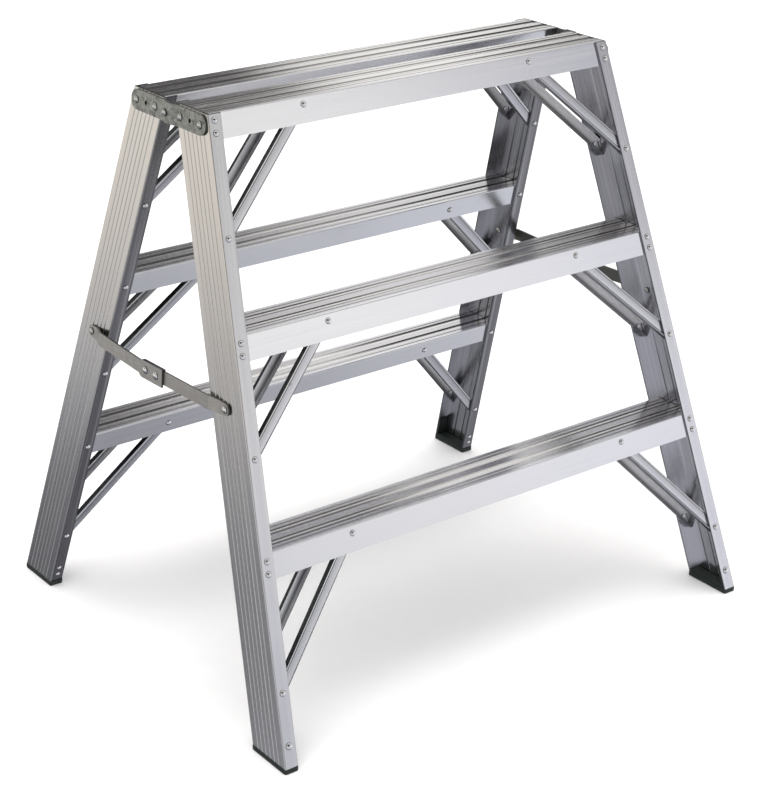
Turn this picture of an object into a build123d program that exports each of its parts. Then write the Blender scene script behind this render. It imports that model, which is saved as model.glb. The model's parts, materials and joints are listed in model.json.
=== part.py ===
from build123d import *
import os
from math import atan2, cos, radians, sin, sqrt, tan

# Double-sided aluminium step ladder: two frames of three steps, hinged at the top, with a folding spreader
# at each end. Millimetres, floor at Z = 0, steps along X, front frame towards -Y, hinge line over the origin.

# Whole ladder
ladder_height = 871.0  # floor to the top treads
top_width = 732.6  # across the rail webs, level with the top treads
frame_gap = 27.4  # between the two frames, level with the top treads
rail_lean = 18.25  # degrees that a frame leans from upright
rail_flare = 5.4  # degrees that a rail leans out sideways

# Rails: channels with the web outwards
rail_depth = 78.2
rail_flange = 21.7
rail_web_wall = 2.6
rail_flange_wall = 3.0
rail_corner = 1.6
rail_tip_chamfer = 0.8
groove_count = 6
groove_pitch = 10.4
groove_width = 3.0
groove_depth = 0.7
groove_slope = 45.0
web_rib_spread = 20.0  # between the two low ribs inside the web
web_rib_width = 2.4
web_rib_height = 0.6

# Steps: inverted channels between the rail flanges
low_step_extra = 6.1  # how much higher the bottom step is above the floor than each step above the last
step_face = 37.2  # flange height along its slope
step_wall = 2.4
tread_wall = 3.4
tread_edge_round = 1.6
tread_channel_width = 13.0
tread_channel_depth = 1.3
tread_channel_spread = 27.0  # between the two wide tread channels
tread_channel_slope = 35.0
tread_line_width = 2.0
tread_line_depth = 0.6
tread_line_spread = 54.0  # between the two fine tread lines
tread_line_slope = 50.0

# Corner braces: small channels, back against the flanges
brace_width = 17.0
brace_flange = 9.0
brace_wall = 1.8
brace_corner = 1.2
brace_start = 158.5  # brace rivet on the step, in from the rail web
brace_top = 10.0  # outer brace rivet on the step, below its tread
brace_inner_top = 18.0  # inner brace rivet on the step, below its tread
brace_reach = 161.0  # outer brace rivet on the rail, below the tread
brace_inner_extra = 10.0  # how much lower an inner brace meets its rail
brace_bottom_extra = 24.0  # how much lower the bottom braces meet their rails
brace_gauge = 10.6  # brace rivet on the rail, in from the web

# Feet: rubber soles with an insert up the rail
sole_height = 8.0
sole_proud = 1.0
sole_corner = 2.5
sole_edge = 1.2
insert_floor = 5.0
insert_wall = 3.0
insert_height = 40.0  # up the outer flange, where the foot is riveted

# Hinge leaves on the webs, rear leaf inside, front leaf joggled over it
leaf_wall = 3.0
leaf_height = 29.3
leaf_line = 16.6  # hinge pivot below the tread, down the web
leaf_length = 83.0  # from the hinge line to the middle of the far round end
leaf_hole_place = 58.0  # open hole, from the hinge line
leaf_hole = 6.0
leaf_joggle_run = 7.5
leaf_joggle_gap = 2.0  # joggle off the rear leaf's round end
hinge_pin = 8.0

# Spreader bars outside the webs, each joggled off its rail; the rear bar laps outside the front bar
spreader_drop = 393.3  # rail pivots below the treads
spreader_sag = 6.0  # middle pivot below the line between the rail pivots
spreader_middle = 14.5  # middle pivot behind the hinge line
bar_wall = 3.0
bar_width = 20.5
bar_end_width = 18.0
bar_taper = 30.0
bar_joggle_start = 15.0
bar_joggle_run = 22.0
bar_stand_off = 5.0  # front bar off the web between its ends
lap_ahead = 45.0  # lap plate ahead of the middle pivot
lap_behind = 11.5  # lap plate behind the middle pivot
lap_below = 14.0  # lap plate's lower edge below the front bar's middle line
lap_slant = 7.0
lip_wall = 2.4
stud_place = 28.0  # pressed stop stud ahead of the middle pivot
stud_width = 11.0
stud_taper = 50.0
stud_height = 1.4
spreader_pin = 8.0

# Rivets, as shares of the shank's width
head_share = 1.45
head_top_share = 0.85
head_height_share = 0.4
tail_share = 1.3
tail_height_share = 0.3

# Clearances
seat = 0.1  # step in its rail
end_gap = 1.0  # step and brace ends off the web
brace_tread_gap = 0.5
brace_seat = 0.6  # brace back off the flanges at its two rivets
insert_gap = 0.3  # foot insert in its rail
shank_fit = 0.05  # fixed rivet in its hole
pivot_fit = 0.08  # turning rivet in its hole
hinge_fit = 0.08  # front leaf on the hinge pivot
leaf_lift = 1.2  # front leaf off the rear leaf
lap_gap = 0.4  # between lapping bars, and from lip to bar
turn_gap = 0.1  # turning pieces off the rivet heads beside them
rail_gap = 0.8  # bar ends off the web
open_gap = 0.3  # open spreader pivot off the web

# Level runs of sloping sizes, and drops of sizes along the rail
lean = radians(rail_lean)
flare = radians(rail_flare)
slope_y = tan(lean)
slope_x = tan(flare)
length_per_drop = sqrt(1 + slope_x**2 + slope_y**2)
rail_run = rail_depth / cos(lean)
flange_run = rail_flange / cos(flare)
web_run = rail_web_wall / cos(flare)
flange_wall_run = rail_flange_wall / cos(lean)
step_wall_run = step_wall / cos(lean)
face_drop = step_face * cos(lean)
half_width = top_width / 2
inner_edge = frame_gap / 2
outer_edge = inner_edge + rail_run
rail_middle = inner_edge + rail_run / 2
rail_down = Vector(-slope_x, -slope_y, -1).normalized()

# The front left quarter is modelled, and reflected for the other three
quarters = {
    "front_left": [],
    "front_right": [Plane.YZ],
    "rear_left": [Plane.XZ],
    "rear_right": [Plane.YZ, Plane.XZ],
}
frames = {"front": [], "rear": [Plane.XZ]}
sides = {"left": [], "right": [Plane.YZ]}
step_names = ["top", "middle", "bottom"]
step_drop = (ladder_height - low_step_extra) / len(step_names)

# Outer face of the left webs: x towards the rear, y down the web, z outwards
outward = Vector(-cos(flare), 0, sin(flare))
web_face = Plane((-half_width, 0, ladder_height), (0, 1, 0), outward)


def on_web(along, down, out=0.0):
    """A point behind the hinge line, down the left web and out from it."""
    return web_face.from_local_coords(Vector(along, down, out))


def inside_web(depth):
    """The plane parallel to the left web, a level depth inside its outer face, facing outwards."""
    return Plane((-half_width + depth, 0, ladder_height), (0, 1, 0), outward)


def height_at(drop):
    return ladder_height - drop


def save(piece, name, reflections=()):
    """Write a piece, reflected in the given planes, under its name."""
    for reflection in reflections:
        with BuildPart() as reflected:
            mirror(piece.part, about=reflection)
        piece = reflected
    piece.part.label = name
    export_step(piece.part, f"parts/{name}.step")


def make_rivet(shank, grip, lift=0.0, tail=True):
    """A rivet along Z, its grip ending at Z = 0, with a head above and a set tail below."""
    with BuildPart() as piece:
        with BuildSketch(Plane.XZ):
            with Locations((0, lift)):
                Rectangle(shank / 2, grip + lift, align=(Align.MIN, Align.MAX))
            with BuildLine():
                Polyline(
                    (0, lift),
                    (shank * head_share / 2, lift),
                    (shank * head_top_share / 2, lift + shank * head_height_share),
                    (0, lift + shank * head_height_share),
                    close=True,
                )
            make_face()
            if tail:
                with Locations((0, -grip)):
                    Rectangle(shank * tail_share / 2, shank * tail_height_share, align=(Align.MIN, Align.MAX))
        revolve(axis=Axis.Z)
    return piece


os.makedirs("parts", exist_ok=True)

# Rails, the rear ones bored for the spreader pivots
spreader_along = rail_middle + slope_y * spreader_drop
spreader_down = spreader_drop / cos(flare)
with BuildPart() as rail:
    with BuildSketch(Plane((-half_width, -rail_middle, ladder_height))) as rail_section:
        Rectangle(flange_run, rail_run, align=(Align.MIN, Align.CENTER))
        with Locations((web_run, 0)):
            Rectangle(
                flange_run, rail_run - 2 * flange_wall_run, align=(Align.MIN, Align.CENTER), mode=Mode.SUBTRACT
            )
        with GridLocations(1, groove_pitch, 1, groove_count):
            Trapezoid(
                groove_width,
                groove_depth,
                groove_slope,
                rotation=-90,
                align=(Align.CENTER, Align.MIN),
                mode=Mode.SUBTRACT,
            )
        with Locations((web_run, -web_rib_spread / 2), (web_run, web_rib_spread / 2)):
            Rectangle(web_rib_height, web_rib_width, align=(Align.MIN, Align.CENTER))
        web_points = rail_section.vertices().group_by(Axis.X)[0].sort_by(Axis.Y)
        fillet([web_points[0], web_points[-1]], rail_corner)
        chamfer(rail_section.vertices().group_by(Axis.X)[-1], rail_tip_chamfer)
    extrude(amount=height_at(sole_height) * length_per_drop, dir=rail_down)
with BuildPart() as pivot_rail:
    add(rail.part)
    with BuildSketch(web_face):
        with Locations((-spreader_along, spreader_down)):
            Circle(spreader_pin / 2 + shank_fit)
    extrude(amount=-2 * rail_web_wall, mode=Mode.SUBTRACT)
for quarter, reflections in quarters.items():
    save(pivot_rail if quarter.startswith("rear") else rail, f"{quarter}_rail", reflections)

# Steps
step_outer = outer_edge - flange_wall_run - seat
step_inner = inner_edge + flange_wall_run + seat


def leaning_band(near, far, top, bottom):
    """Corners of the band between two leaning lines, from one drop to another."""
    return [
        (-near - slope_y * top, height_at(top)),
        (-far - slope_y * top, height_at(top)),
        (-far - slope_y * bottom, height_at(bottom)),
        (-near - slope_y * bottom, height_at(bottom)),
    ]


def make_step(tread):
    """A front step with its tread at the given drop, trimmed to the webs at both ends."""
    low = tread + face_drop
    hollow_inner = step_inner + step_wall_run
    hollow_outer = step_outer - step_wall_run
    tread_middle = -(step_outer + step_inner) / 2 - slope_y * tread
    cuts = [
        (tread_channel_spread, tread_channel_width, tread_channel_depth, tread_channel_slope),
        (tread_line_spread, tread_line_width, tread_line_depth, tread_line_slope),
    ]
    with BuildPart() as step:
        with BuildSketch(Plane.YZ) as section:
            with BuildLine():
                Polyline(*leaning_band(step_inner, step_outer, tread, low), close=True)
            make_face()
            fillet(section.vertices().group_by(Axis.Y)[-1], tread_edge_round)
            with BuildLine():
                Polyline(*leaning_band(hollow_inner, hollow_outer, tread + tread_wall, low), close=True)
            make_face(mode=Mode.SUBTRACT)
            for spread, width, depth, slope in cuts:
                places = [(tread_middle - spread / 2, height_at(tread)), (tread_middle + spread / 2, height_at(tread))]
                with Locations(*places):
                    Trapezoid(
                        width, depth, slope, rotation=180, align=(Align.CENTER, Align.MIN), mode=Mode.SUBTRACT
                    )
        extrude(amount=-half_width - slope_x * low)
        split(bisect_by=inside_web(web_run + end_gap), keep=Keep.BOTTOM)
        mirror(about=Plane.YZ)
    return step


for index, step_name in enumerate(step_names):
    step = make_step(index * step_drop)
    for frame, reflections in frames.items():
        save(step, f"{frame}_{step_name}_step", reflections)


def make_brace(tread, top, reach, step_back, rail_back, inward):
    """A brace under the left end of a front step, from the step's flange to the rail's flange."""
    start_drop = tread + top
    end_drop = tread + reach
    start = Vector(
        -half_width - slope_x * tread + brace_start, -step_back - slope_y * start_drop, height_at(start_drop)
    )
    end = Vector(
        -half_width - slope_x * end_drop + brace_gauge, -rail_back - slope_y * end_drop, height_at(end_drop)
    )
    along = (end - start).normalized()
    across = inward.cross(along).normalized()
    overrun = 2 * brace_width
    with BuildPart() as brace:
        with BuildSketch(Plane(start - along * overrun, across, along)) as section:
            Rectangle(brace_width, brace_flange, align=(Align.CENTER, Align.MIN))
            chamfer(section.vertices().group_by(Axis.Y)[0], brace_corner)
            with Locations((0, brace_wall)):
                Rectangle(
                    brace_width - 2 * brace_wall,
                    brace_flange,
                    align=(Align.CENTER, Align.MIN),
                    mode=Mode.SUBTRACT,
                )
        extrude(amount=(end - start).length + 2 * overrun)
        split(bisect_by=Plane.XY.offset(height_at(tread + tread_wall + brace_tread_gap)), keep=Keep.BOTTOM)
        split(bisect_by=inside_web(web_run + end_gap), keep=Keep.BOTTOM)
    return brace


# Corner braces: where their backs lie, level from the hinge line, and which way they open
flange_in = Vector(0, cos(lean), -sin(lean))
brace_lines = {
    "outer": (step_outer - step_wall_run - brace_seat, outer_edge - flange_wall_run - brace_seat, flange_in),
    "inner": (step_inner + step_wall_run + brace_seat, inner_edge + flange_wall_run + brace_seat, -flange_in),
}
brace_ends = {"outer": (brace_top, brace_reach), "inner": (brace_inner_top, brace_reach + brace_inner_extra)}
for index, step_name in enumerate(step_names):
    extra = brace_bottom_extra if step_name == step_names[-1] else 0.0
    for flange, (top, reach) in brace_ends.items():
        brace = make_brace(index * step_drop, top, reach + extra, *brace_lines[flange])
        for quarter, reflections in quarters.items():
            save(brace, f"{quarter}_{step_name}_{flange}_brace", reflections)

# Feet
rail_foot_drop = height_at(sole_height)
foot_x = -half_width - slope_x * rail_foot_drop
foot_y = -rail_middle - slope_y * rail_foot_drop
insert_start = web_run + web_rib_height + insert_gap
insert_depth = rail_run - 2 * flange_wall_run - 2 * insert_gap
with BuildPart() as foot:
    with BuildSketch(Plane((foot_x - sole_proud, foot_y, 0))) as sole:
        Rectangle(flange_run + 2 * sole_proud, rail_run + 2 * sole_proud, align=(Align.MIN, Align.CENTER))
        chamfer(sole.vertices(), sole_corner)
    extrude(amount=sole_height)
    chamfer(foot.edges().group_by(Axis.Z)[0], sole_edge)
    with BuildSketch(Plane((foot_x, foot_y, sole_height))):
        with Locations((insert_start, 0)):
            Rectangle(flange_run - insert_start, insert_depth, align=(Align.MIN, Align.CENTER))
    extrude(amount=insert_floor, dir=-rail_down)
    with BuildSketch(Plane((foot_x, foot_y, sole_height))):
        with Locations((insert_start, -insert_depth / 2)):
            Rectangle(flange_run - insert_start, insert_wall, align=(Align.MIN, Align.MIN))
    extrude(amount=insert_height, dir=-rail_down)
for quarter, reflections in quarters.items():
    save(foot, f"{quarter}_foot", reflections)

# Hinge leaves
front_leaf_out = leaf_wall + leaf_lift
hinge_out = front_leaf_out + leaf_wall
hinge_height = on_web(0, leaf_line, hinge_out / 2).Z
hinge_section = Plane((0, 0, hinge_height), (0, 1, 0), (-1, 0, 0))
with BuildPart() as rear_leaf:
    with BuildSketch(web_face):
        with Locations((leaf_length / 2, leaf_line)):
            SlotCenterToCenter(leaf_length, leaf_height)
        with Locations((leaf_hole_place, leaf_line)):
            Circle(leaf_hole / 2, mode=Mode.SUBTRACT)
    extrude(amount=leaf_wall)
    with BuildSketch(hinge_section):
        Circle(hinge_pin / 2 + shank_fit)
    extrude(amount=ladder_height, mode=Mode.SUBTRACT)

joggle_top = -leaf_height / 2 - leaf_joggle_gap
joggle_foot = joggle_top - leaf_joggle_run
joggle_shift = leaf_wall * tan(atan2(front_leaf_out, leaf_joggle_run) / 2)
leaf_reach = leaf_length + leaf_height
with BuildPart() as front_leaf:
    with BuildSketch(Plane(on_web(0, leaf_line), (0, 1, 0), (sin(flare), 0, cos(flare)))):
        with BuildLine():
            Polyline(
                (-leaf_reach, 0),
                (joggle_foot, 0),
                (joggle_top, front_leaf_out),
                (leaf_height, front_leaf_out),
                (leaf_height, hinge_out),
                (joggle_top - joggle_shift, hinge_out),
                (joggle_foot - joggle_shift, leaf_wall),
                (-leaf_reach, leaf_wall),
                close=True,
            )
        make_face()
    extrude(amount=leaf_height, both=True)
    with BuildSketch(web_face):
        with Locations((-leaf_length / 2, leaf_line)):
            SlotCenterToCenter(leaf_length, leaf_height)
        with Locations((-leaf_hole_place, leaf_line)):
            Circle(leaf_hole / 2, mode=Mode.SUBTRACT)
    extrude(amount=hinge_out, mode=Mode.INTERSECT)
    with BuildSketch(hinge_section):
        Circle(hinge_pin / 2 + hinge_fit)
    extrude(amount=ladder_height, mode=Mode.SUBTRACT)
for side, reflections in sides.items():
    save(rear_leaf, f"{side}_rear_hinge_leaf", reflections)
    save(front_leaf, f"{side}_front_hinge_leaf", reflections)

# Hinge pivots, level on the hinge line through both leaves, clear of their slope under head and tail
head_lift = turn_gap + slope_x * hinge_pin * head_share / 2
tail_lift = turn_gap + slope_x * hinge_pin * tail_share / 2
hinge_web = half_width + slope_x * (ladder_height - hinge_height)
hinge_grip = hinge_out / cos(flare)
hinge_rivet = make_rivet(hinge_pin, hinge_grip + tail_lift, lift=head_lift)
with BuildPart() as hinge_pivots:
    with Locations(hinge_section.offset(hinge_web + hinge_grip)):
        add(hinge_rivet.part)
    mirror(about=Plane.YZ)
save(hinge_pivots, "hinge_pivots")

# Spreaders
rear_pivot = (spreader_along, spreader_down)
front_pivot = (-spreader_along, spreader_down)
middle_pivot = (spreader_middle, spreader_down + spreader_sag)
lap_out = bar_stand_off + bar_wall + lap_gap


def make_bar(rail_pivot, out, hole):
    """A bar from its rail pivot to the middle pivot, joggled from the web out to the given distance."""
    start = on_web(*rail_pivot)
    along = on_web(*middle_pivot) - start
    length = along.length
    joggle_end = bar_joggle_start + bar_joggle_run
    shift = bar_wall * tan(atan2(out - rail_gap, bar_joggle_run) / 2)
    with BuildPart() as bar:
        with BuildSketch(Plane(start, along, along.cross(outward))):
            with BuildLine():
                Polyline(
                    (-bar_width, rail_gap),
                    (bar_joggle_start, rail_gap),
                    (joggle_end, out),
                    (length + bar_width, out),
                    (length + bar_width, out + bar_wall),
                    (joggle_end - shift, out + bar_wall),
                    (bar_joggle_start - shift, rail_gap + bar_wall),
                    (-bar_width, rail_gap + bar_wall),
                    close=True,
                )
            make_face()
        extrude(amount=bar_width, both=True)
        with BuildSketch(Plane(start, along, outward)):
            Circle(bar_end_width / 2)
            with Locations((bar_taper, 0)):
                Rectangle(length - bar_taper, bar_width, align=(Align.MIN, Align.CENTER))
            with Locations((length, 0)):
                Circle(bar_width / 2)
            make_hull()
            with Locations((0, 0), (length, 0)):
                Circle(hole, mode=Mode.SUBTRACT)
        extrude(amount=out + bar_wall, mode=Mode.INTERSECT)
    return bar


rear_hole = spreader_pin / 2 + pivot_fit
front_bar = make_bar(front_pivot, bar_stand_off, spreader_pin / 2 + shank_fit)
plain_rear_bar = make_bar(rear_pivot, lap_out, rear_hole)
lap_axis = on_web(*front_pivot) - on_web(*middle_pivot)
lip_low = bar_width / 2 + lap_gap
with BuildPart() as rear_bar:
    add(plain_rear_bar.part)
    with BuildSketch(Plane(on_web(*middle_pivot, lap_out), lap_axis, outward)):
        with BuildLine():
            Polyline(
                (-lap_behind - lap_slant, -bar_width / 2),
                (-lap_behind, -lap_below),
                (lap_ahead, -lap_below),
                (lap_ahead, lip_low + lip_wall),
                (-lap_behind, lip_low + lip_wall),
                (-lap_behind - lap_slant, bar_width / 2),
                close=True,
            )
        make_face()
        Circle(rear_hole, mode=Mode.SUBTRACT)
    extrude(amount=bar_wall)
    with BuildSketch(Plane(on_web(*middle_pivot, bar_stand_off), lap_axis, outward)):
        with Locations((-lap_behind, lip_low)):
            Rectangle(lap_behind + lap_ahead, lip_wall, align=(Align.MIN, Align.MIN))
    extrude(amount=lap_out - bar_stand_off)
    with BuildSketch(Plane(on_web(*middle_pivot, lap_out + bar_wall), lap_axis, outward)):
        with Locations((stud_place, 0)):
            Circle(stud_width / 2)
    extrude(amount=stud_height, taper=stud_taper)
for side, reflections in sides.items():
    save(front_bar, f"{side}_front_spreader_bar", reflections)
    save(rear_bar, f"{side}_rear_spreader_bar", reflections)

# Spreader pivots: on the rear rails, then on each front bar, between the bars and at its open front end
bar_head = rail_gap + bar_wall
lap_head = lap_out + bar_wall
rail_rivet = make_rivet(spreader_pin, bar_head + rail_web_wall, lift=turn_gap)
with BuildPart() as rear_spreader_pivots:
    with Locations(Plane(on_web(*rear_pivot, bar_head), (0, 1, 0), outward)):
        add(rail_rivet.part)
    mirror(about=Plane.YZ)
save(rear_spreader_pivots, "rear_spreader_pivots")

middle_rivet = make_rivet(spreader_pin, lap_head - bar_stand_off, lift=turn_gap)
front_rivet = make_rivet(spreader_pin, bar_head - open_gap, tail=False)
with BuildPart() as bar_pivots:
    with Locations(Plane(on_web(*middle_pivot, lap_head), lap_axis, outward)):
        add(middle_rivet.part)
    with Locations(Plane(on_web(*front_pivot, bar_head), lap_axis, outward)):
        add(front_rivet.part)
for side, reflections in sides.items():
    save(bar_pivots, f"{side}_spreader_pivots", reflections)
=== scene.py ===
import json
from math import cos, pi, radians, sin, sqrt, tan

import bmesh
import bpy
from mathutils import Matrix, Vector


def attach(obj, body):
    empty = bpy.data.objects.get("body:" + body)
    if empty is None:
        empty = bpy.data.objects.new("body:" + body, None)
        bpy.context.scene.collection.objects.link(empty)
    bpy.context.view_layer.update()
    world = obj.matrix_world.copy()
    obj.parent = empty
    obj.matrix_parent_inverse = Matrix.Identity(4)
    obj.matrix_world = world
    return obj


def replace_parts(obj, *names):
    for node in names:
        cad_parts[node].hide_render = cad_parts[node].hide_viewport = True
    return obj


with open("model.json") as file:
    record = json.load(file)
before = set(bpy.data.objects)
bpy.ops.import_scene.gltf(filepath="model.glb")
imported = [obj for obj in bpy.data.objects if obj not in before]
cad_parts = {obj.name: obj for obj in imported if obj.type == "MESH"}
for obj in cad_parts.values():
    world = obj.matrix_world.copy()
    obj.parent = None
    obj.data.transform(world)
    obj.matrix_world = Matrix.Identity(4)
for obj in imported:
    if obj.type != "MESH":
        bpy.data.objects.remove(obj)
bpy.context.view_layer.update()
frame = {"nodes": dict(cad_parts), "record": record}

# Sizes of the ladder, in metres. A drop is measured down from the top treads.
HEIGHT = 0.871
HALF_WIDTH = 0.3663
LEAN = radians(18.25)
FLARE = radians(5.4)
SLOPE_Y = tan(LEAN)
SLOPE_X = tan(FLARE)
INNER_EDGE = 0.0137
RAIL_RUN = 0.0782 / cos(LEAN)
RAIL_MIDDLE = RAIL_RUN / 2
OUTER_EDGE = INNER_EDGE + RAIL_RUN
FLANGE_RUN = 0.003 / cos(LEAN)
STEP_RUN = 0.0024 / cos(LEAN)
SEAT = 0.0001
STEP_DROP = (HEIGHT - 0.0061) / 3
STEP_OUTER = OUTER_EDGE - FLANGE_RUN - SEAT
STEP_INNER = INNER_EDGE + FLANGE_RUN + SEAT
TREAD_CHANNEL = 0.0135
CHANNEL_HALF = 0.0056
FINE_LINE = 0.0270
GAUGE = 0.0106
BRACE_START = 0.1585
BRACE_TOP = 0.010
BRACE_INNER_TOP = 0.018
BRACE_REACH = 0.161
BRACE_INNER_EXTRA = 0.010
BRACE_BOTTOM_EXTRA = 0.024
BRACE_SEAT = 0.0006
BRACE_BACK = BRACE_SEAT + 0.0018
LEAF_LINE = 0.0166
LEAF_WALL = 0.003
LEAF_RIVETS = (0.033, 0.083)
HINGE_OUT = 0.0072
RAIL_WEB = 0.0026
BAR_WALL = 0.003
BAR_END_OUT = 0.0008
BAR_OUT = 0.005
LAP_OUT = 0.0084
OPEN_GAP = 0.0003
STUD_PLACE = 0.028
SPREADER_DROP = 0.3933
SPREADER_ALONG = INNER_EDGE + RAIL_MIDDLE + SLOPE_Y * SPREADER_DROP
SPREADER_DOWN = SPREADER_DROP / cos(FLARE)
SPREADER_MIDDLE = (0.0145, SPREADER_DOWN + 0.0060)

# Drops of the rivets, from the tread for the steps and from the top for the feet
STEP_RIVETS = (0.0084, 0.0253)
INNER_STEP_RIVET = 0.019
FOOT_RIVET = 0.8334
FOOT_INNER_RIVETS = (0.837, 0.850)

# Radius and rise of the rivet heads and tails
FRAME_HEAD = (0.0043, 0.0026)
FRAME_TAIL = (0.0040, 0.0018)
FOOT_HEAD = (0.0050, 0.0030)
FOOT_INNER_HEAD = (0.0036, 0.0020)
LEAF_HEAD = (0.0054, 0.0028)
LEAF_TAIL = (0.0046, 0.0020)
STUD_HEAD = (0.0059, 0.0032)
PIVOT_HEAD = (0.0058, 0.0032)
PIVOT_TAIL = (0.0052, 0.0024)
PIVOT_RIM = 0.0006
SHANK = 0.004
SINK = 0.0004
HEAD_GAP = 0.0001
# The hinge pivots are level and the leaves lean, so head and tail stand off them
HINGE_HEAD_GAP = 0.00078
HINGE_TAIL_GAP = 0.00067

# Directions out of a left web, down it, and out of a front flange
OUTWARD = Vector((-cos(FLARE), 0, sin(FLARE)))
DOWN_WEB = Vector((-sin(FLARE), 0, -cos(FLARE)))
FORWARD = Vector((0, -cos(LEAN), sin(LEAN)))

# Fine lines that the die leaves, to the metre, and the depth of all bumps
DIE_LINES = 1500
BUMP_DEPTH = 0.0004


class Socket:
    """A value in a material. Arithmetic on it adds the Math nodes, and node() adds any other node."""

    def __init__(self, tree, socket):
        self.tree = tree
        self.socket = socket

    def node(self, kind, settings=None, inputs=None, output=0):
        made = self.tree.nodes.new(kind)
        for name, value in (settings or {}).items():
            if name == "stops":
                ramp = made.color_ramp.elements
                while len(ramp) < len(value):
                    ramp.new(0.5)
                for element, (place, colour) in zip(ramp, value):
                    element.position = place
                    element.color = (*colour, 1)
            else:
                setattr(made, name, value)
        for name, value in (inputs or {}).items():
            if isinstance(value, Socket):
                self.tree.links.new(value.socket, made.inputs[name])
            else:
                made.inputs[name].default_value = value
        return Socket(self.tree, made.outputs[output])

    def maths(self, operation, *others):
        return self.node("ShaderNodeMath", {"operation": operation}, dict(enumerate((self, *others))))

    def __add__(self, other):
        return self.maths("ADD", other)

    def __sub__(self, other):
        return self.maths("SUBTRACT", other)

    def __mul__(self, other):
        return self.maths("MULTIPLY", other)

    def __rsub__(self, other):
        return self.maths("MULTIPLY_ADD", -1.0, other)

    def __abs__(self):
        return self.maths("ABSOLUTE")

    __radd__ = __add__
    __rmul__ = __mul__

    def between(self, low, high):
        """0 below the low value, 1 above the high one, smooth between."""
        return self.node(
            "ShaderNodeMapRange",
            {"interpolation_type": "SMOOTHSTEP"},
            {"Value": self, "From Min": low, "From Max": high},
        )

    def vector(self, y, z):
        return self.node("ShaderNodeCombineXYZ", None, {"X": self, "Y": y, "Z": z})

    def noise(self, scale, detail=3.0, rough=0.5):
        inputs = {"Vector": self, "Scale": scale, "Detail": detail, "Roughness": rough}
        return self.node("ShaderNodeTexNoise", None, inputs)

    def blend(self, first, second):
        """A colour from the first to the second as this value goes from 0 to 1."""
        first, second = ((*end, 1) if isinstance(end, tuple) else end for end in (first, second))
        return self.node("ShaderNodeMix", {"data_type": "RGBA"}, {0: self, 6: first, 7: second}, 2)

    def times(self, other):
        """The product of two colours."""
        settings = {"data_type": "RGBA", "blend_type": "MULTIPLY"}
        return self.node("ShaderNodeMix", settings, {0: 1.0, 6: self, 7: other}, 2)


class Finish:
    """A material with a principled shader, and the place on the object to build its look from."""

    def __init__(self, name, **constants):
        self.material = bpy.data.materials.new(name)
        self.material.use_nodes = True
        self.tree = self.material.node_tree
        self.shader = self.tree.nodes["Principled BSDF"]
        for socket, value in constants.items():
            self.shader.inputs[socket.replace("_", " ")].default_value = value
        coordinates = self.tree.nodes.new("ShaderNodeTexCoord")
        self.place = Socket(self.tree, coordinates.outputs["Object"])
        self.x, self.y, self.z = (
            self.place.node("ShaderNodeSeparateXYZ", None, {"Vector": self.place}, axis) for axis in "XYZ"
        )

    def normal(self, axis):
        """How far a face looks along an axis, from -1 to 1."""
        normal = self.place.node("ShaderNodeNewGeometry", None, None, "Normal")
        return normal.node("ShaderNodeSeparateXYZ", None, {"Vector": normal}, axis)

    def facing(self, axis):
        """How squarely a face looks along an axis, either way."""
        return abs(self.normal(axis))

    def edges(self):
        """1 on the cut edges of a plate that stands on the webs, 0 on its faces."""
        return 1 - self.facing("X").between(0.55, 0.85)

    def rim(self, low, high):
        """1 at the rim of a rivet, by the rim value in its mesh, which goes from 0 on the axis to 1."""
        rim = self.place.node("ShaderNodeAttribute", {"attribute_name": "rim"}, None, "Fac")
        return rim.between(low, high)

    def set(self, colour, roughness, height=None, strength=0.3, metallic=None):
        """Links the look to the shader, and gives the material."""
        links = {"Base Color": colour, "Roughness": roughness}
        if metallic is not None:
            links["Metallic"] = metallic
        if height is not None:
            bump = {"Height": height, "Strength": strength, "Distance": BUMP_DEPTH}
            links["Normal"] = height.node("ShaderNodeBump", None, bump)
        for name, value in links.items():
            self.tree.links.new(value.socket, self.shader.inputs[name])
        return self.material


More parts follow.
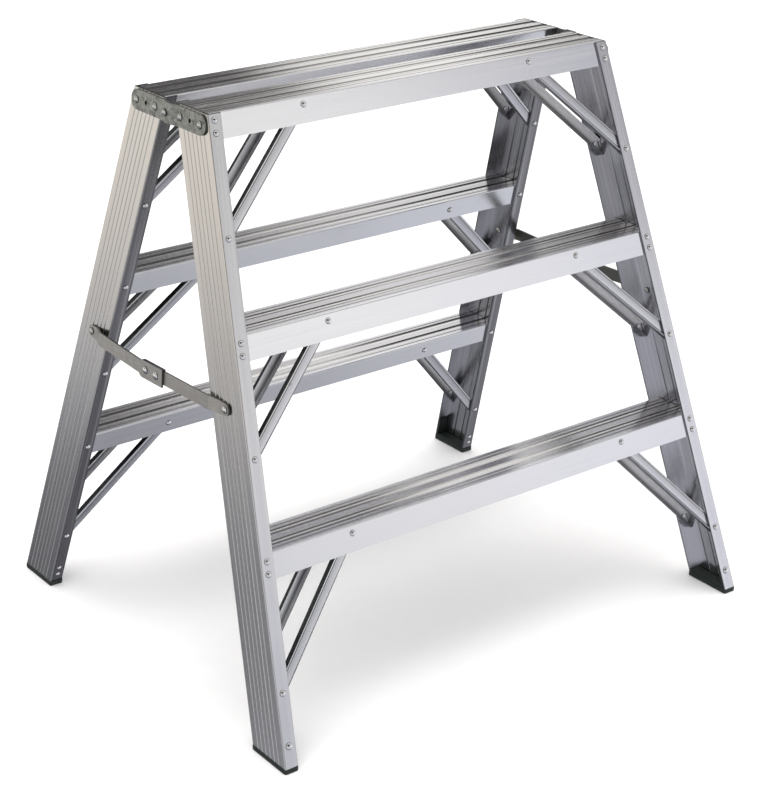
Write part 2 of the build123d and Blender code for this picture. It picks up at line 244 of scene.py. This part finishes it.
def rail_aluminium():
    """Extruded rail: fine lines down its length, dull grooves, painted light by height, and painted shade
    inside, low on the rear frame, on the inner flanges and at the flange tips.
    """
    look = Finish("rail_aluminium", Metallic=1.0)
    drop = HEIGHT - look.z
    across = abs(look.y) - drop * SLOPE_Y - INNER_EDGE
    out = abs(look.x) - drop * SLOPE_X - HALF_WIDTH
    lines = (across * DIE_LINES).vector(out * DIE_LINES, drop * 2.5).noise(1.0, 4.0, 0.6)
    streaks = (across * 210).vector(out * 210, drop * 1.2).noise(1.0, 2.0)
    bloom = look.place.noise(7.0, 4.0, 0.6)
    specks = look.place.noise(900.0, 2.0)
    web = out.between(-0.0018, -0.0013)
    groove = web * (1 - out.between(-0.0006, -0.0002))
    inside = 1 - out.between(-0.0032, -0.0024)
    off_middle = abs(across - RAIL_MIDDLE)
    hollow = inside * (1 - off_middle.between(RAIL_MIDDLE - 0.0046, RAIL_MIDDLE - 0.0033))
    # Painted shade on the inner flanges
    inner_flange_shade = (1 - across.between(0.0004, 0.0010)) * (1 - web)
    # Painted shade at the flange tips
    tip_shade = 1 - out.between(-0.0214, -0.0210)
    top_cut = 1 - drop.between(0.0002, 0.0005)
    low = drop.between(0.18, 0.62)
    # Where painted shade falls inside the channel: the lower part of each bay between the steps
    bay_shade = drop.maths("MODULO", STEP_DROP).between(0.09, 0.25)
    # Painted shade low on the webs of the rear frame
    rear_low_shade = drop.between(0.42, 0.70) * look.y.between(0.0, 0.1)
    # Painted light by height: a warm cast high on the webs and a cool one low down, and painted shade on the
    # flanges high up
    web_colour = (low + (bloom - 0.5) * 0.5).blend((0.84, 0.80, 0.74), (0.79, 0.785, 0.79))
    web_colour = (rear_low_shade * 0.5).blend(web_colour, (0.42, 0.42, 0.44))
    flange_colour = (low * 0.55 + bloom * 0.45).blend((0.54, 0.54, 0.56), (0.83, 0.835, 0.88))
    # Colour inside the channel, with painted shade on the rear frame
    hollow_shade_colour = look.y.between(-0.02, 0.02).blend((0.86, 0.86, 0.89), (0.60, 0.60, 0.63))
    colour = web.blend(flange_colour, web_colour)
    colour = (inner_flange_shade * 0.9).blend(colour, (0.15, 0.15, 0.165))
    colour = hollow.blend(colour, hollow_shade_colour)
    colour = (hollow * bay_shade * 0.8).blend(colour, (0.06, 0.065, 0.07))
    colour = (top_cut * 0.9).blend(colour, (0.05, 0.05, 0.055))
    colour = (tip_shade * 0.8).blend(colour, (0.10, 0.10, 0.11))
    colour = (groove * 0.42).blend(colour, (0.28, 0.26, 0.24))
    gleam = ((lines - 0.5) * 0.9 + (streaks - 0.5) * 0.8).between(-0.1, 0.6)
    gleam = gleam * (1 - hollow * 0.97) * (1 - tip_shade) * (1 - top_cut)
    colour = gleam.blend(colour, (0.96, 0.95, 0.93))
    drawn = 1 - hollow * 0.85
    roughness = (lines * 0.13 + streaks * 0.10) * drawn + bloom * 0.06
    roughness = roughness + groove * 0.10 + hollow * 0.14 + 0.08
    return look.set(colour, roughness, lines * drawn * 0.7 + specks * 0.15, 0.25)


def step_aluminium():
    """Extruded step: fine lines along it, painted shade on the tread channel floors, along their walls and
    beneath the tread, treads rubbed pale by feet, bright flanges.
    """
    look = Finish("step_aluminium")
    drop = HEIGHT - look.z
    below = drop.maths("MODULO", STEP_DROP)
    across = abs(look.y) - drop * SLOPE_Y - INNER_EDGE
    lines = (look.x * 2.5).vector(look.y * DIE_LINES, look.z * DIE_LINES).noise(1.0, 4.0, 0.6)
    streaks = (look.x * 1.5).vector(look.y * 260, look.z * 260).noise(1.0, 2.0)
    bloom = look.place.noise(6.0, 4.0, 0.6)
    specks = look.place.noise(900.0, 2.0)
    scuffs = (look.x * 9).vector(look.y * 45, look.z * 9).noise(1.0, 5.0, 0.7)
    top = 1 - below.between(0.0028, 0.0032)
    sunk = top * below.between(0.0001, 0.0006)
    off_middle = abs(across - RAIL_MIDDLE)
    middle = 1 - off_middle.between(0.030, 0.036)
    walls = 1 - abs(abs(off_middle - TREAD_CHANNEL) - CHANNEL_HALF).between(0.0005, 0.0014)
    fine_lines = 1 - abs(off_middle - FINE_LINE).between(0.0007, 0.0016)
    tread = top * middle
    # Painted shade beneath the tread, between the flanges
    under_shade = below.between(0.0031, 0.0034) * middle

    def outer_half(place):
        """1 in the outer half of the channel at a place across the tread."""
        past = across - RAIL_MIDDLE - place
        return past.between(-0.002, 0.002) * (1 - past.between(CHANNEL_HALF, CHANNEL_HALF + 0.001))

    # Painted shade in the outer half of each channel floor
    channel_shade = sunk * (outer_half(-TREAD_CHANNEL) + outer_half(TREAD_CHANNEL))
    # Painted shade along the channel walls and the fine grooves
    edge_shade = top * (walls + fine_lines)
    dark_lines = (channel_shade + edge_shade).maths("MINIMUM", 1.0)
    low_tread = drop.between(0.3, 0.5) * 0.5 + 0.6
    rubbed = tread * (1 - abs(look.x).between(0.06, 0.24)) * low_tread
    worn = tread * scuffs.between(0.55, 0.72) * (1 - walls) * (1 - fine_lines)
    flange_colour = bloom.blend((0.81, 0.815, 0.85), (0.89, 0.895, 0.925))
    tread_colour = bloom.blend((0.76, 0.745, 0.73), (0.88, 0.865, 0.85))
    colour = tread.blend(flange_colour, tread_colour)
    colour = (rubbed * 0.6).blend(colour, (0.98, 0.97, 0.96))
    colour = (channel_shade * (0.92 - rubbed * 0.7)).blend(colour, (0.06, 0.06, 0.065))
    colour = (edge_shade * (0.9 - rubbed * 0.5)).blend(colour, (0.05, 0.05, 0.055))
    colour = (under_shade * 0.8).blend(colour, (0.55, 0.54, 0.56))
    gleam = ((lines - 0.5) * 0.7 + (streaks - 0.5) * 0.8).between(-0.05, 0.6)
    gleam = gleam * (1 - dark_lines * (0.95 - rubbed * 0.5))
    colour = gleam.blend(colour, (0.97, 0.97, 0.97))
    colour = (worn * 0.22).blend(colour, (0.90, 0.89, 0.88))
    roughness = lines * 0.12 + streaks * 0.08 + bloom * 0.06 + rubbed * 0.24 + worn * 0.10 + 0.05
    height = lines * 0.7 + specks * 0.15 + worn * 0.3
    return look.set(colour, roughness, height, 0.22, metallic=1 - rubbed * 0.4)


def brace_aluminium(name, top, reach, back, opening):
    """Rolled brace: lines along its slope, a painted highlight on its upper lip, painted shade lines near the
    edges of its web, painted shade across its web, on its walls, upper walls and in its hollow, painted light
    on the hollow's walls, and a dull hollow.

    The top and the reach are the drops of its two ends below the tread, and the back is how far its web
    stands from the hinge line at the tread. The opening is 1 for a channel that opens away from the hinge
    line and -1 for one that opens towards it.
    """
    look = Finish(name)
    down = abs(look.y) * sin(LEAN) + (HEIGHT - look.z) * cos(LEAN) - back * sin(LEAN)
    below = down.maths("MODULO", STEP_DROP / cos(LEAN))
    out = abs(look.x) - (down - below) * (SLOPE_X * cos(LEAN)) - HALF_WIDTH
    start = Vector((-BRACE_START, top / cos(LEAN)))
    slope = (Vector((SLOPE_X * reach - GAUGE, reach / cos(LEAN))) - start).normalized()
    across = (out - start.x) * slope.y - (below - start.y) * slope.x
    along = (out - start.x) * slope.x + (below - start.y) * slope.y
    lines = (across * 1300).vector(abs(look.y) * 1300, along * 4).noise(1.0, 4.0, 0.6)
    streaks = (across * 300).vector(abs(look.y) * 300, along * 2).noise(1.0, 2.0)
    bloom = look.place.noise(16.0, 4.0, 0.6)
    marks = look.place.noise(120.0, 5.0, 0.7).between(0.62, 0.74)
    web = look.facing("Y").between(0.84, 0.92)
    walls = 1 - look.facing("Y").between(0.35, 0.75)
    # Painted highlight on the upper lip
    lip_highlight = across.between(0.0052, 0.0062)
    # Painted shade lines near the upper and lower edges of the web
    upper_shade_line = 1 - abs(across - 0.0050).between(0.0004, 0.0010)
    lower_edge_shade = 1 - across.between(-0.0070, -0.0062)
    # Painted shade on the upward-facing outer wall
    upper_wall_shade = look.normal("Z").between(0.40, 0.60) * across.between(0.0, 0.004)
    hollow_web = web * (look.normal("Y") * look.y * opening).between(0.0, 0.02)
    hollow_walls = walls * (1 - (look.normal("Z") * across).between(-0.002, -0.001))
    hollow = hollow_web + hollow_walls
    hollow_shade = across.between(-0.006, 0.004).blend((0.16, 0.165, 0.17), (0.88, 0.88, 0.90))
    gleam = ((lines - 0.5) * 0.9 + (streaks - 0.5) * 0.9).between(0.0, 0.6)
    colour = bloom.blend((0.64, 0.645, 0.68), (0.82, 0.825, 0.86))
    colour = gleam.blend(colour, (0.86, 0.86, 0.88))
    # Painted shade across the web, deepening towards its upper edge
    colour = (web * across.between(-0.006, 0.0045) * 0.45).blend(colour, (0.34, 0.345, 0.36))
    colour = (web * lip_highlight).blend(colour, (0.93, 0.93, 0.94))
    colour = (marks * 0.4).blend(colour, (0.40, 0.40, 0.42))
    colour = (web * (upper_shade_line * 0.8 + lower_edge_shade * 0.9)).blend(colour, (0.045, 0.05, 0.05))
    # Painted shade on the walls
    colour = (walls * 0.25).blend(colour, (0.16, 0.165, 0.18))
    colour = (hollow_web * 0.85).blend(colour, hollow_shade)
    # Painted light on the walls of the hollow
    colour = (hollow_walls * 0.85).blend(colour, (0.86, 0.86, 0.88))
    colour = (upper_wall_shade * 0.93).blend(colour, (0.03, 0.035, 0.033))
    roughness = lines * 0.15 + streaks * 0.12 + bloom * 0.08 + marks * 0.15 + hollow * 0.2 + 0.08
    return look.set(colour, roughness, lines * 0.7 + marks * -0.3, 0.25, metallic=1 - hollow * 0.6)


def hinge_steel():
    """Dull zinc plate with a faint crystal figure, grey-green bloom and painted shade on its cut edges."""
    look = Finish("hinge_steel", Metallic=0.85)
    cells = look.place.node("ShaderNodeTexVoronoi", None, {"Vector": look.place, "Scale": 190.0}, "Color")
    figure = cells.node("ShaderNodeSeparateColor", None, {"Color": cells}, "Red")
    bloom = look.place.noise(55.0, 5.0, 0.65)
    fine = look.place.noise(700.0, 3.0)
    speckle = look.place.noise(420.0, 4.0, 0.75).between(0.40, 0.62)
    colour = (figure * 0.6 + speckle * 0.4).blend((0.05, 0.06, 0.045), (0.56, 0.575, 0.53))
    colour = (bloom.between(0.35, 0.70) * 0.6).blend(colour, (0.42, 0.43, 0.40))
    # Painted shade on the cut edges
    colour = (look.edges() * 0.85).blend(colour, (0.035, 0.042, 0.038))
    roughness = figure * 0.14 + bloom * 0.16 + 0.30
    return look.set(colour, roughness, fine * 0.6 + figure * 0.25, 0.25)


def spreader_steel():
    """Zinc plated strip: rolling lines, a warm cast, rubbed bright in places, painted shade on its cut edges
    and on its inner side.
    """
    look = Finish("spreader_steel", Metallic=0.9)
    lines = (look.x * 500).vector(look.y * 18, look.z * 900).noise(1.0, 4.0, 0.6)
    bloom = look.place.noise(40.0, 5.0, 0.65)
    fine = look.place.noise(800.0, 2.0)
    rubbed = look.place.noise(90.0, 4.0, 0.7).between(0.52, 0.66)
    colour = bloom.blend((0.38, 0.365, 0.34), (0.52, 0.505, 0.475))
    colour = (lines.between(0.35, 0.7) * 0.5).blend(colour, (0.60, 0.585, 0.56))
    colour = (rubbed * 0.35).blend(colour, (0.68, 0.67, 0.64))
    # Painted shade on the cut edges
    colour = (look.edges() * 0.85).blend(colour, (0.035, 0.042, 0.038))
    # Painted shade on the side that faces the web
    inner_side_shade = 1 - (look.normal("X") * look.x).between(-0.2, 0.0)
    colour = (inner_side_shade * 0.8).blend(colour, (0.09, 0.10, 0.085))
    roughness = lines * 0.14 + bloom * 0.18 + 0.22
    return look.set(colour, roughness, lines * 0.5 + fine * 0.4, 0.22)


def rivet_steel():
    """Bright set rivets with a fine hammer texture and painted shade at the rim."""
    look = Finish("rivet_steel", Metallic=1.0)
    bloom = look.place.noise(180.0, 4.0, 0.6)
    fine = look.place.noise(1400.0, 3.0)
    rim = look.rim(0.86, 0.94)
    colour = bloom.blend((0.84, 0.84, 0.84), (0.98, 0.98, 0.98))
    # Painted shade at the rim and over the seat
    colour = (rim * 0.88).blend(colour, (0.035, 0.04, 0.04))
    roughness = bloom * 0.08 + fine * 0.04 + rim * 0.2 + 0.05
    return look.set(colour, roughness, fine * 0.3 + bloom * 0.4, 0.2)


def dull_rivet():
    """Dull zinc rivets of the hinge leaves and spreader ends: grey-green, with painted shade at the rim."""
    look = Finish("dull_rivet", Metallic=0.9)
    bloom = look.place.noise(180.0, 4.0, 0.6)
    fine = look.place.noise(1400.0, 3.0)
    rim = look.rim(0.80, 0.92)
    colour = bloom.blend((0.52, 0.53, 0.50), (0.76, 0.77, 0.73))
    # Painted shade at the rim and over the seat
    colour = (rim * 0.92).blend(colour, (0.03, 0.034, 0.03))
    return look.set(colour, bloom * 0.12 + 0.12, fine * 0.3 + bloom * 0.4, 0.2)


def foot_rubber():
    """Moulded rubber, greenish black, dusty where it meets the floor."""
    look = Finish("foot_rubber", Specular_IOR_Level=0.35)
    grain = look.place.noise(1100.0, 4.0, 0.6)
    bloom = look.place.noise(60.0, 4.0, 0.6)
    dust = (1 - look.z.between(0.0005, 0.005)) * bloom.between(0.40, 0.70)
    colour = bloom.blend((0.010, 0.016, 0.014), (0.028, 0.036, 0.032))
    colour = (dust * 0.5).blend(colour, (0.10, 0.10, 0.09))
    roughness = grain * 0.15 + bloom * 0.15 + dust * 0.2 + 0.38
    return look.set(colour, roughness, grain, 0.35)


finishes = {
    maker.__name__: maker()
    for maker in (
        rail_aluminium,
        step_aluminium,
        hinge_steel,
        spreader_steel,
        rivet_steel,
        dull_rivet,
        foot_rubber,
    )
}
brace_finishes = {}
for flange, top, reach, back, opening in (
    ("outer", BRACE_TOP, BRACE_REACH, STEP_OUTER - STEP_RUN - BRACE_SEAT, -1),
    ("inner", BRACE_INNER_TOP, BRACE_REACH + BRACE_INNER_EXTRA, STEP_INNER + STEP_RUN + BRACE_SEAT, 1),
):
    for step_name, extra in (("top", 0), ("middle", 0), ("bottom", BRACE_BOTTOM_EXTRA)):
        kind = f"{step_name}_{flange}_brace"
        brace_finishes[kind] = brace_aluminium(f"{kind}_aluminium", top, reach + extra, back, opening)
slots = {part["node"]: part["material_slot"] for part in frame["record"]["subparts"]}
for name, node in frame["nodes"].items():
    # The last three words of a brace's name give its kind
    finish = finishes.get(slots[name]) or brace_finishes["_".join(name.split("_")[-3:])]
    for material_slot in node.material_slots:
        material_slot.material = finish


def frame_at(origin, direction):
    """A placing whose Z runs along a direction from an origin."""
    return Matrix.Translation(origin) @ direction.to_track_quat("Z", "Y").to_matrix().to_4x4()


def turned(mesh, placing, profile, turns=28):
    """Adds the solid that a profile of radius and height sweeps round Z, both ends on the axis.

    Each point keeps its share of the widest radius as its rim value.
    """
    rim = mesh.verts.layers.float.get("rim") or mesh.verts.layers.float.new("rim")
    widest = max(radius for radius, height in profile)
    rings = []
    for radius, height in profile:
        ring = []
        count = turns if radius else 1
        for k in range(count):
            angle = 2 * pi * k / count
            vertex = mesh.verts.new(placing @ Vector((radius * cos(angle), radius * sin(angle), height)))
            vertex[rim] = radius / widest
            ring.append(vertex)
        rings.append(ring)
    for low, high in zip(rings, rings[1:]):
        for k in range(turns):
            pairs = ((low, k), (low, k + 1), (high, k + 1), (high, k))
            mesh.faces.new(dict.fromkeys(ring[place % len(ring)] for ring, place in pairs))


def domed(radius, rise, rim, base=0.0, steps=7):
    """Profile of a domed head from its rim to its crown."""
    sphere = (radius**2 + (rise - rim) ** 2) / (2 * (rise - rim))
    points = [(radius * 0.97, base), (radius, base + rim * 0.4), (radius, base + rim)]
    for k in range(1, steps):
        r = radius * (1 - k / steps)
        points.append((r, base + rise - sphere + sqrt(sphere**2 - r**2)))
    return points + [(0, base + rise)]


def head(mesh, origin, direction, radius, rise):
    """A domed rivet head on a face, sunk a little into it, with a thin seat round it that takes the painted
    shade of the rim.
    """
    seat = radius * 1.12
    profile = [(0, -SINK), (seat, -0.0003), (seat, 0.0002), (radius * 1.02, SINK)]
    turned(mesh, frame_at(origin, direction), profile + domed(radius, rise, rise * 0.22, SINK))


def tail(mesh, origin, direction, radius, rise):
    """A set rivet tail, flattened by the set."""
    profile = [(0, -SINK), (radius, -0.0003), (radius, rise * 0.55), (radius * 0.82, rise * 0.9)]
    turned(mesh, frame_at(origin, direction), profile + [(radius * 0.55, rise), (0, rise)])


def piece(name, mesh, body, finish="rivet_steel"):
    """A smooth piece in a rivet finish that rides a body."""
    bmesh.ops.recalc_face_normals(mesh, faces=mesh.faces)
    data = bpy.data.meshes.new(name)
    mesh.to_mesh(data)
    mesh.free()
    data.polygons.foreach_set("use_smooth", [True] * len(data.polygons))
    data.set_sharp_from_angle(angle=radians(50))
    data.materials.append(finishes[finish])
    made = bpy.data.objects.new(name, data)
    bpy.context.collection.objects.link(made)
    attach(made, body)
    return made


def mirrored(vector, side, frame_sign):
    """A vector of the left end of the front frame, at another end or frame."""
    return Vector((vector.x * side, vector.y * frame_sign, vector.z))


def frame_rivets(body, frame_sign):
    """The rivets of one frame: steps to rails, braces to steps and rails, and feet."""
    mesh = bmesh.new()
    for side in (1, -1):

        def at(x_in, drop, back, normal, maker, size, level=None):
            """A head or tail in from the web line, which is taken at its own drop or at a given level."""
            level = drop if level is None else level
            origin = Vector((-HALF_WIDTH - SLOPE_X * level + x_in, -back - SLOPE_Y * drop, HEIGHT - drop))
            maker(mesh, mirrored(origin, side, frame_sign), mirrored(normal, side, frame_sign), *size)

        def rivet(x_in, drop, head_back, tail_back, normal, level=None):
            at(x_in, drop, head_back, normal, head, FRAME_HEAD, level)
            at(x_in, drop, tail_back, -normal, tail, FRAME_TAIL, level)

        for index, extra in enumerate((0, 0, BRACE_BOTTOM_EXTRA)):
            tread = index * STEP_DROP
            for below in STEP_RIVETS:
                rivet(GAUGE, tread + below, OUTER_EDGE, STEP_OUTER - STEP_RUN, FORWARD)
            rivet(GAUGE, tread + INNER_STEP_RIVET, INNER_EDGE, STEP_INNER + STEP_RUN, -FORWARD)
            high = tread + BRACE_TOP
            rivet(BRACE_START, high, STEP_OUTER, STEP_OUTER - STEP_RUN - BRACE_BACK, FORWARD, tread)
            high = tread + BRACE_INNER_TOP
            rivet(BRACE_START, high, STEP_INNER, STEP_INNER + STEP_RUN + BRACE_BACK, -FORWARD, tread)
            low = tread + BRACE_REACH + extra
            rivet(GAUGE, low, OUTER_EDGE, OUTER_EDGE - FLANGE_RUN - BRACE_BACK, FORWARD)
            low += BRACE_INNER_EXTRA
            rivet(GAUGE, low, INNER_EDGE, INNER_EDGE + FLANGE_RUN + BRACE_BACK, -FORWARD)
        at(GAUGE, FOOT_RIVET, OUTER_EDGE, FORWARD, head, FOOT_HEAD)
        for drop in FOOT_INNER_RIVETS:
            at(GAUGE, drop, INNER_EDGE, -FORWARD, head, FOOT_INNER_HEAD)
    piece(f"{body}_rivets", mesh, body)


def on_web(along, down, out, side):
    """A point behind the hinge line, down a web and out from it."""
    point = Vector((-HALF_WIDTH, along, HEIGHT)) + DOWN_WEB * down + OUTWARD * out
    return mirrored(point, side, 1)


def pivot(mesh, origin, direction, grip, lift=0.0, tailed=True):
    """A pivot rivet whose head sits above an origin, with its shank below."""
    profile = [(0, -grip)]
    if tailed:
        radius, rise = PIVOT_TAIL
        low = -grip - rise
        profile = [(0, low), (0.0038, low), (0.0050, low + 0.0006), (radius, -grip)]
    profile += [(SHANK, -grip), (SHANK, lift), *domed(*PIVOT_HEAD, PIVOT_RIM, lift)]
    turned(mesh, frame_at(origin, direction), profile)


frame_rivets("front_frame", 1)
frame_rivets("rear_frame", -1)
hinge_height = on_web(0, LEAF_LINE, HINGE_OUT / 2, 1).z
hinge_x = HALF_WIDTH + SLOPE_X * (HEIGHT - hinge_height) + HINGE_OUT / cos(FLARE)
leaf_mesh = {"front": bmesh.new(), "rear": bmesh.new()}
hinge_mesh, rear_mesh, tail_mesh = bmesh.new(), bmesh.new(), bmesh.new()
for side, side_name in ((1, "left"), (-1, "right")):
    outward = mirrored(OUTWARD, side, 1)
    for place in LEAF_RIVETS:
        for frame_name, sign in (("front", -1), ("rear", 1)):
            mesh = leaf_mesh[frame_name]
            head(mesh, on_web(sign * place, LEAF_LINE, LEAF_WALL, side), outward, *LEAF_HEAD)
            tail(mesh, on_web(sign * place, LEAF_LINE, -RAIL_WEB, side), -outward, *LEAF_TAIL)
    hinge_head = Vector((-side * hinge_x, 0, hinge_height))
    hinge_grip = HINGE_OUT / cos(FLARE) + HINGE_TAIL_GAP
    pivot(hinge_mesh, hinge_head, Vector((-side, 0, 0)), hinge_grip, HINGE_HEAD_GAP)
    rear_head = on_web(SPREADER_ALONG, SPREADER_DOWN, BAR_END_OUT + BAR_WALL, side)
    pivot(rear_mesh, rear_head, outward, BAR_END_OUT + BAR_WALL + RAIL_WEB, HEAD_GAP)
    mesh = bmesh.new()
    middle_head = on_web(*SPREADER_MIDDLE, LAP_OUT + BAR_WALL, side)
    pivot(mesh, middle_head, outward, LAP_OUT + BAR_WALL - BAR_OUT, HEAD_GAP)
    front_head = on_web(-SPREADER_ALONG, SPREADER_DOWN, BAR_END_OUT + BAR_WALL, side)
    pivot(mesh, front_head, outward, BAR_END_OUT + BAR_WALL - OPEN_GAP, tailed=False)
    front_tail = on_web(-SPREADER_ALONG, SPREADER_DOWN, -RAIL_WEB, side)
    tail(tail_mesh, front_tail, -outward, *PIVOT_TAIL)
    bar_pivots = piece(f"{side_name}_spreader_rivets", mesh, f"{side_name}_front_spreader")
    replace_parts(bar_pivots, f"{side_name}_spreader_pivots")
    ahead = Vector((-SPREADER_ALONG, SPREADER_DOWN)) - Vector(SPREADER_MIDDLE)
    stud = Vector(SPREADER_MIDDLE) + ahead.normalized() * STUD_PLACE
    mesh = bmesh.new()
    head(mesh, on_web(*stud, LAP_OUT + BAR_WALL, side), outward, *STUD_HEAD)
    piece(f"{side_name}_spreader_stud", mesh, f"{side_name}_rear_spreader")
for frame_name, mesh in leaf_mesh.items():
    piece(f"{frame_name}_hinge_rivets", mesh, f"{frame_name}_frame", "dull_rivet")
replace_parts(piece("hinge_rivets", hinge_mesh, "rear_frame", "dull_rivet"), "hinge_pivots")
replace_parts(piece("rear_spreader_rivets", rear_mesh, "rear_frame", "dull_rivet"), "rear_spreader_pivots")
piece("front_spreader_tails", tail_mesh, "front_frame", "dull_rivet")

# Pale floor, which the metal doesn't mirror
far = 60
corners = [(-far, -far, 0), (far, -far, 0), (far, far, 0), (-far, far, 0)]
floor_data = bpy.data.meshes.new("floor")
floor_data.from_pydata(corners, [], [(0, 1, 2, 3)])
floor = bpy.data.objects.new("floor", floor_data)
bpy.context.collection.objects.link(floor)
paper = Finish("pale_floor")
grain = paper.place.noise(30.0, 3.0)
paper_colour = grain.blend((0.92, 0.92, 0.925), (0.95, 0.95, 0.955))
floor_data.materials.append(paper.set(paper_colour, grain * 0.1 + 0.75))
floor.visible_glossy = False

# Greys of the surround by the height of a direction, in front and behind
FRONT_SHADES = ((-1, 0.15), (-0.80, 0.32), (-0.70, 0.72), (-0.4, 0.62), (0, 0.62), (0.72, 0.55), (1, 1.0))
REAR_SHADES = (
    (-1, 0.05), (-0.5, 0.13), (-0.36, 0.20), (-0.29, 0.58), (-0.18, 0.84), (0.2, 0.80), (0.72, 0.61), (1, 1.0)
)
# Pale cards and dark flats in the surround: azimuth from the back round by the right, elevation, the angles
# from there at which one ends and is full, strength, colour
CARDS = (
    (39, 17, 25, 10, 1.0, (0.98, 0.97, 0.96)),
    (20.5, 11, 17.5, 12.5, 0.97, (0.02, 0.02, 0.025)),
    (22, 27, 9, 6, 0.9, (0.04, 0.04, 0.045)),
    (39.5, 29, 9, 4, 1.0, (1.25, 1.24, 1.22)),
    (50.5, 19, 11, 7, 0.95, (0.04, 0.045, 0.05)),
    (46.5, 29, 9, 5, 0.5, (0.90, 0.92, 0.95)),
    (-7, 13, 15, 9, 0.9, (0.04, 0.045, 0.045)),
    (13, -48, 16, 9, 0.8, (0.42, 0.42, 0.44)),
    (88, -22, 22, 12, 1.0, (1.0, 1.0, 1.0)),
    (127, -9, 12, 5, 1.0, (1.35, 1.35, 1.35)),
    (192, 46, 34, 27, 0.97, (0.01, 0.01, 0.012)),
    (-56, 26, 20, 12, 0.9, (0.04, 0.045, 0.05)),
    (-28, -23, 9, 3, 0.8, (0.06, 0.065, 0.07)),
    (143, 11, 15, 4, 1.0, (1.04, 1.03, 1.0)),
    (128.5, 18, 15, 7, 0.9, (0.20, 0.20, 0.24)),
    (133, 4, 13, 5, 0.4, (0.80, 0.80, 0.96)),
    (-46, -30, 9, 4, 0.8, (0.55, 0.56, 0.60)),
)


def studio_surround():
    """Soft surround: bright round the horizon and overhead, dusky low down, with the cards and flats."""
    world = bpy.data.worlds.new("studio")
    world.use_nodes = True
    tree = world.node_tree
    coordinates = tree.nodes.new("ShaderNodeTexCoord")
    sight = Socket(tree, coordinates.outputs["Generated"])
    along, height = (sight.node("ShaderNodeSeparateXYZ", None, {"Vector": sight}, axis) for axis in "YZ")

    def shades(stops):
        """A grey by height, from pairs of height and brightness."""
        ramp = [(place * 0.5 + 0.5, (shade, shade, shade)) for place, shade in stops]
        return height.node("ShaderNodeValToRGB", {"stops": ramp}, {0: height * 0.5 + 0.5})

    behind = along.between(-0.3, 0.3)
    colour = behind.blend(shades(FRONT_SHADES), shades(REAR_SHADES))
    tint = (height + behind * 0.42).between(0.08, 0.26).blend((0.925, 0.935, 1.0), (1.0, 0.97, 0.935))
    colour = tint.times(colour)
    for azimuth, elevation, ends, full, strength, shade in CARDS:
        a, e = radians(azimuth), radians(elevation)
        aim = (sin(a) * cos(e), cos(a) * cos(e), sin(e))
        near = sight.node("ShaderNodeVectorMath", {"operation": "DOT_PRODUCT"}, {0: sight, 1: aim}, "Value")
        card = near.between(cos(radians(ends)), cos(radians(full)))
        colour = (card * strength).blend(colour, shade)
    tree.links.new(colour.socket, tree.nodes["Background"].inputs["Color"])
    bpy.context.scene.world = world


# One wide light overhead, which the metal doesn't mirror
overhead = bpy.data.lights.new("overhead", "SUN")
overhead.energy = 3.2
overhead.angle = radians(88)
overhead_object = bpy.data.objects.new("overhead", overhead)
overhead_object.rotation_euler = (radians(8), radians(-6), 0)
bpy.context.collection.objects.link(overhead_object)
overhead_object.visible_glossy = False
studio_surround()
bpy.context.scene.view_settings.view_transform = "Standard"

# Camera at the photograph's view, as fitted to it
camera_data = bpy.data.cameras.new("camera")
camera_data.lens = 90.11
camera_data.sensor_width = 36
camera = bpy.data.objects.new("camera", camera_data)
right = Vector((0.79786, -0.60281, 0.00604))
up = Vector((0.23632, 0.32197, 0.91678))
back = Vector((-0.55459, -0.73004, 0.39935))
turn = Matrix((right, up, back)).transposed()
camera.matrix_world = Matrix.Translation((-1.77175, -2.33238, 1.59897)) @ turn.to_4x4()
bpy.context.collection.objects.link(camera)
bpy.context.scene.camera = camera
